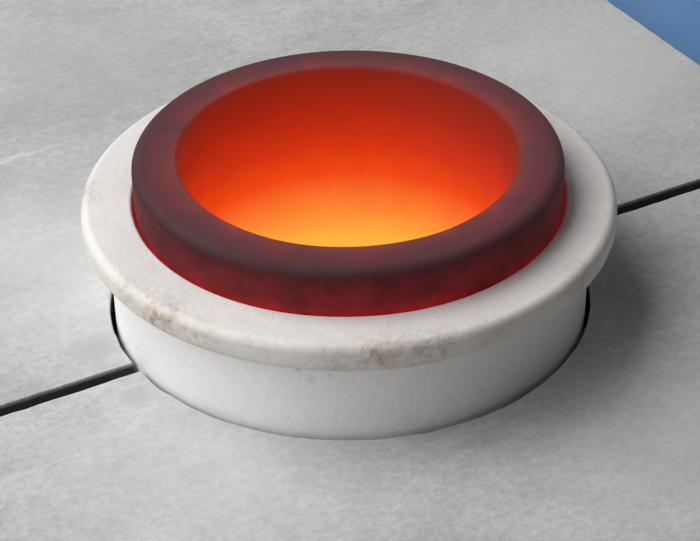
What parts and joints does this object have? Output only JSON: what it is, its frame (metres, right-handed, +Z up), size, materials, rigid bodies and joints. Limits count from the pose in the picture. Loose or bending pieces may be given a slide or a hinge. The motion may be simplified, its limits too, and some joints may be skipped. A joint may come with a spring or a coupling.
{
  "type": "electric gold melting furnace",
  "caption": "Bench-top induction furnace for melting gold: a graphite crucible in a flanged ceramic sleeve that stands up through a split board top on a low steel cabinet.",
  "frame": {"origin": "middle of the box round the whole furnace, on the surface that its feet stand on", "axes": "+Z up, -Y towards the front panel with the controls, +X to the right of someone who faces it"},
  "size_m": [0.482, 0.4266, 0.2508],
  "materials": {
    "graphite": "dull burnt graphite, hot and glowing inside",
    "ceramic": "unglazed cast ceramic with scorch stains",
    "fibre": "pressed ceramic fibre, matt",
    "cement_board": "fibre cement, matt, speckled and streaky",
    "firebrick": "porous insulating brick",
    "copper": "drawn copper, slightly tarnished",
    "phenolic": "laminated board, satin",
    "zinc_steel": "zinc plated, satin",
    "blue_paint": "powder coat, fine texture",
    "rubber": "moulded, dull",
    "black_plastic": "moulded, fine texture",
    "smoked_window": "smoked, polished",
    "green_plastic": "moulded, semi-gloss",
    "amber_plastic": "moulded, semi-gloss",
    "red_plastic": "moulded, semi-gloss",
    "dial_face": "anodised, printed with plain numbers",
    "brass": "machined, slightly tarnished",
    "aluminium": "extruded, bare",
    "circuit_card": "laminate under a green mask",
    "hose_rubber": "smooth, satin"
  },
  "bodies": {
    "cabinet": {"coil_liner": "fibre", "front_board": "cement_board", "rear_board": "cement_board", "hearth_tile": "firebrick", "insulating_block": "firebrick", "induction_coil": "copper", "front_bus_plate": "copper", "rear_bus_plate": "copper", "rear_coil_post": "phenolic", "left_coil_post": "phenolic", "front_coil_post": "phenolic", "base_plate": "zinc_steel", "partition": "zinc_steel", "left_handle": "zinc_steel", "right_handle": "zinc_steel", "lamp_holder": "zinc_steel", "potentiometer": "zinc_steel", "start_collar": "zinc_steel", "stop_collar": "zinc_steel", "fan_guard": "zinc_steel", "front_panel": "blue_paint", "rear_panel": "blue_paint", "left_panel": "blue_paint", "right_panel": "blue_paint", "deck": "blue_paint", "front_ledge": "blue_paint", "rear_ledge": "blue_paint", "left_ledge": "blue_paint", "front_left_foot": "rubber", "front_right_foot": "rubber", "rear_left_foot": "rubber", "rear_right_foot": "rubber", "meter_case": "black_plastic", "start_switch": "black_plastic", "stop_switch": "black_plastic", "rocker_frame": "black_plastic", "fan_frame": "black_plastic", "cable_gland": "black_plastic", "power_module": "black_plastic", "meter_window": "smoked_window", "green_lamp": "green_plastic", "amber_lamp": "amber_plastic", "tuning_capacitor": "amber_plastic", "red_lamp": "red_plastic", "dial_plate": "dial_face", "water_inlet": "brass", "water_outlet": "brass", "earth_stud": "brass", "heat_sink": "aluminium", "inverter_card": "circuit_card", "supply_hose": "hose_rubber", "return_hose": "hose_rubber"},
    "sleeve": {"sleeve": "ceramic", "crucible_pad": "fibre"},
    "crucible": {"crucible": "graphite"},
    "knob": {"power_knob": "black_plastic"},
    "start_button": {"start_button": "green_plastic"},
    "stop_button": {"stop_button": "red_plastic"},
    "rocker": {"power_rocker": "red_plastic"},
    "fan": {"fan_rotor": "black_plastic"}
  },
  "joints": [
    {"name": "sleeve_lift", "type": "slide", "parent": "cabinet", "child": "sleeve", "axis": [0, 0, 1], "range_m": [0, 0.114]},
    {"name": "crucible_lift", "type": "slide", "parent": "sleeve", "child": "crucible", "axis": [0, 0, 1], "range_m": [0, 0.125]},
    {"name": "knob_turn", "type": "hinge", "parent": "cabinet", "child": "knob", "pos_m": [0.1185, -0.1923, 0.08796], "axis": [0, 1, 0], "range_deg": [0, 270]},
    {"name": "start_press", "type": "slide", "parent": "cabinet", "child": "start_button", "axis": [0, 1, 0], "range_m": [0, 0.004], "stiffness_N_per_m": 300},
    {"name": "stop_press", "type": "slide", "parent": "cabinet", "child": "stop_button", "axis": [0, 1, 0], "range_m": [0, 0.004], "stiffness_N_per_m": 300},
    {"name": "rocker_throw", "type": "hinge", "parent": "cabinet", "child": "rocker", "pos_m": [0.1185, -0.1915, 0.04016], "axis": [1, 0, 0], "range_deg": [0, 20]},
    {"name": "fan_spin", "type": "hinge", "parent": "cabinet", "child": "fan", "pos_m": [0.1445, 0.1643, 0.1343], "axis": [0, 1, 0], "continuous": true}
  ]
}
